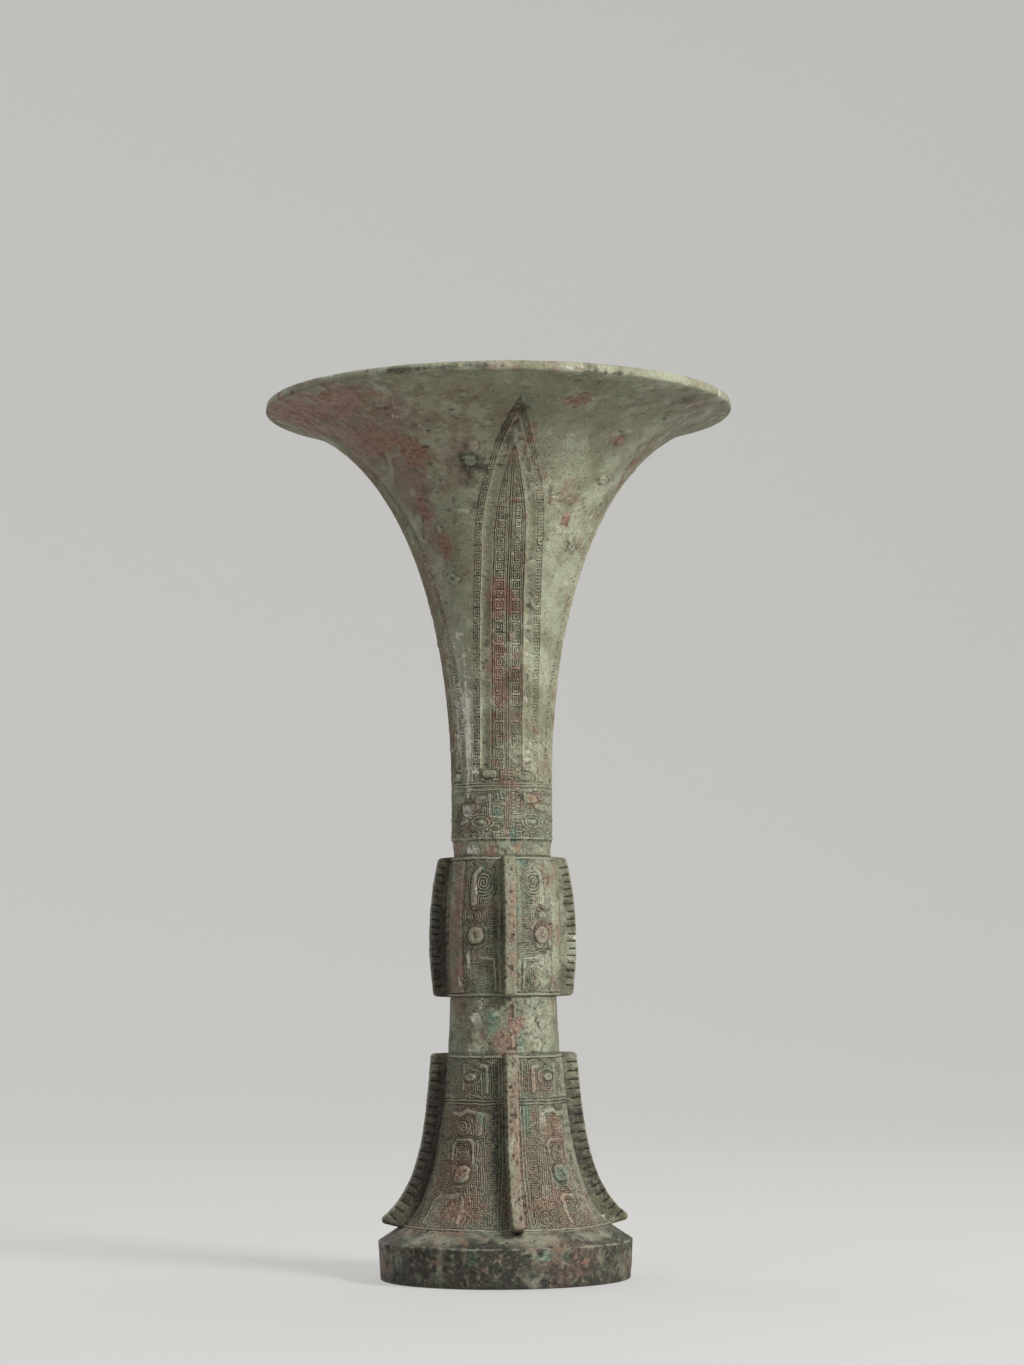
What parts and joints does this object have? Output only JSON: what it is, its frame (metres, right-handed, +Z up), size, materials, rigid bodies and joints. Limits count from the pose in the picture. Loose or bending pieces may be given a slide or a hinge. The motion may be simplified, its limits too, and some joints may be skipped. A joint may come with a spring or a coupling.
{
  "type": "bronze gu vessel",
  "caption": "Tall archaic bronze beaker with a wide trumpet mouth, swollen middle, flaring hollow foot and notched vertical flanges, for wine.",
  "frame": {"origin": "centre of the foot ring's standing face", "axes": "+Z up along the vessel's axis; -Y is the front flange that faces the viewer; +X is the right flange"},
  "size_m": [0.1644, 0.1644, 0.3048],
  "materials": {
    "bronze_body": "matt grey-green bronze patina with red-brown and malachite patches",
    "bronze_flange": "matt dark green-brown bronze patina, worn on the edges",
    "bronze_spacer": "matt red-brown bronze patina"
  },
  "bodies": {
    "root": {"mouth_trumpet": "bronze_body", "neck_band": "bronze_body", "bulb": "bronze_body", "waist": "bronze_body", "foot": "bronze_body", "foot_ring": "bronze_body", "cup_floor": "bronze_body", "bulb_flange_front": "bronze_flange", "bulb_flange_right": "bronze_flange", "bulb_flange_back": "bronze_flange", "bulb_flange_left": "bronze_flange", "foot_flange_front": "bronze_flange", "foot_flange_right": "bronze_flange", "foot_flange_back": "bronze_flange", "foot_flange_left": "bronze_flange", "mouth_spacers": "bronze_spacer"}
  },
  "joints": []
}
